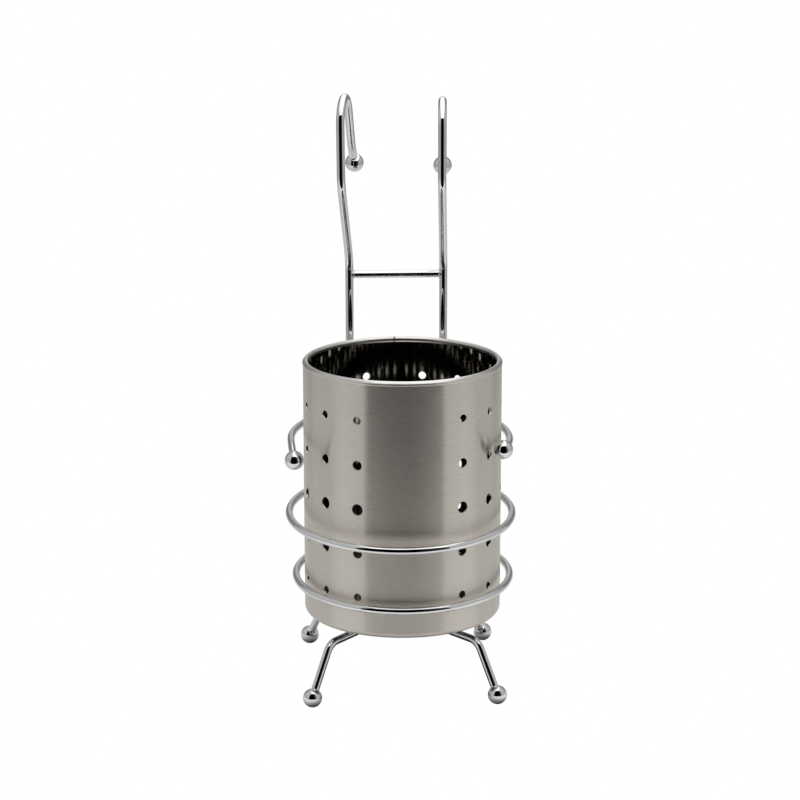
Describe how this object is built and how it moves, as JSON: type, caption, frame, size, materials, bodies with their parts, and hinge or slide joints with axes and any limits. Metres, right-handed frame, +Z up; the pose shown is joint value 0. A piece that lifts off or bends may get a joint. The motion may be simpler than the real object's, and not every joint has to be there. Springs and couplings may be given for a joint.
{
  "type": "hanging cutlery holder",
  "caption": "Perforated steel cutlery cup that lifts out of a chromed wire stand with rings, ball feet and hooks for hanging over a rail.",
  "frame": {"origin": "centre of the bounding box, on the plane that the four ball feet stand on", "axes": "+Z up, -Y to the front, where the picture looks from, +X to the right seen from the front"},
  "size_m": [0.1174, 0.1366, 0.2954],
  "materials": {
    "brushed_cup": "brushed round the cup, polished rim",
    "chrome_wire": "bright chrome plate",
    "chrome_ball": "bright chrome plate"
  },
  "bodies": {
    "stand": {"upper_ring": "chrome_wire", "lower_ring": "chrome_wire", "holding_arc": "chrome_wire", "arc_ball_left": "chrome_ball", "arc_ball_right": "chrome_ball", "upright_left": "chrome_wire", "upright_right": "chrome_wire", "hook_ball_left": "chrome_ball", "hook_ball_right": "chrome_ball", "cross_bar": "chrome_wire", "leg_wire_front": "chrome_wire", "leg_wire_rear": "chrome_wire", "foot_ball_front_left": "chrome_ball", "foot_ball_front_right": "chrome_ball", "foot_ball_rear_left": "chrome_ball", "foot_ball_rear_right": "chrome_ball"},
    "cup": {"cup_wall": "brushed_cup", "cup_base": "brushed_cup"}
  },
  "joints": [
    {"name": "cup_lift_out", "type": "hinge", "parent": "stand", "child": "cup", "pos_m": [0.0006, -0.6202, 0.084], "axis": [1, 0, 0], "range_deg": [0, 10.5]}
  ]
}
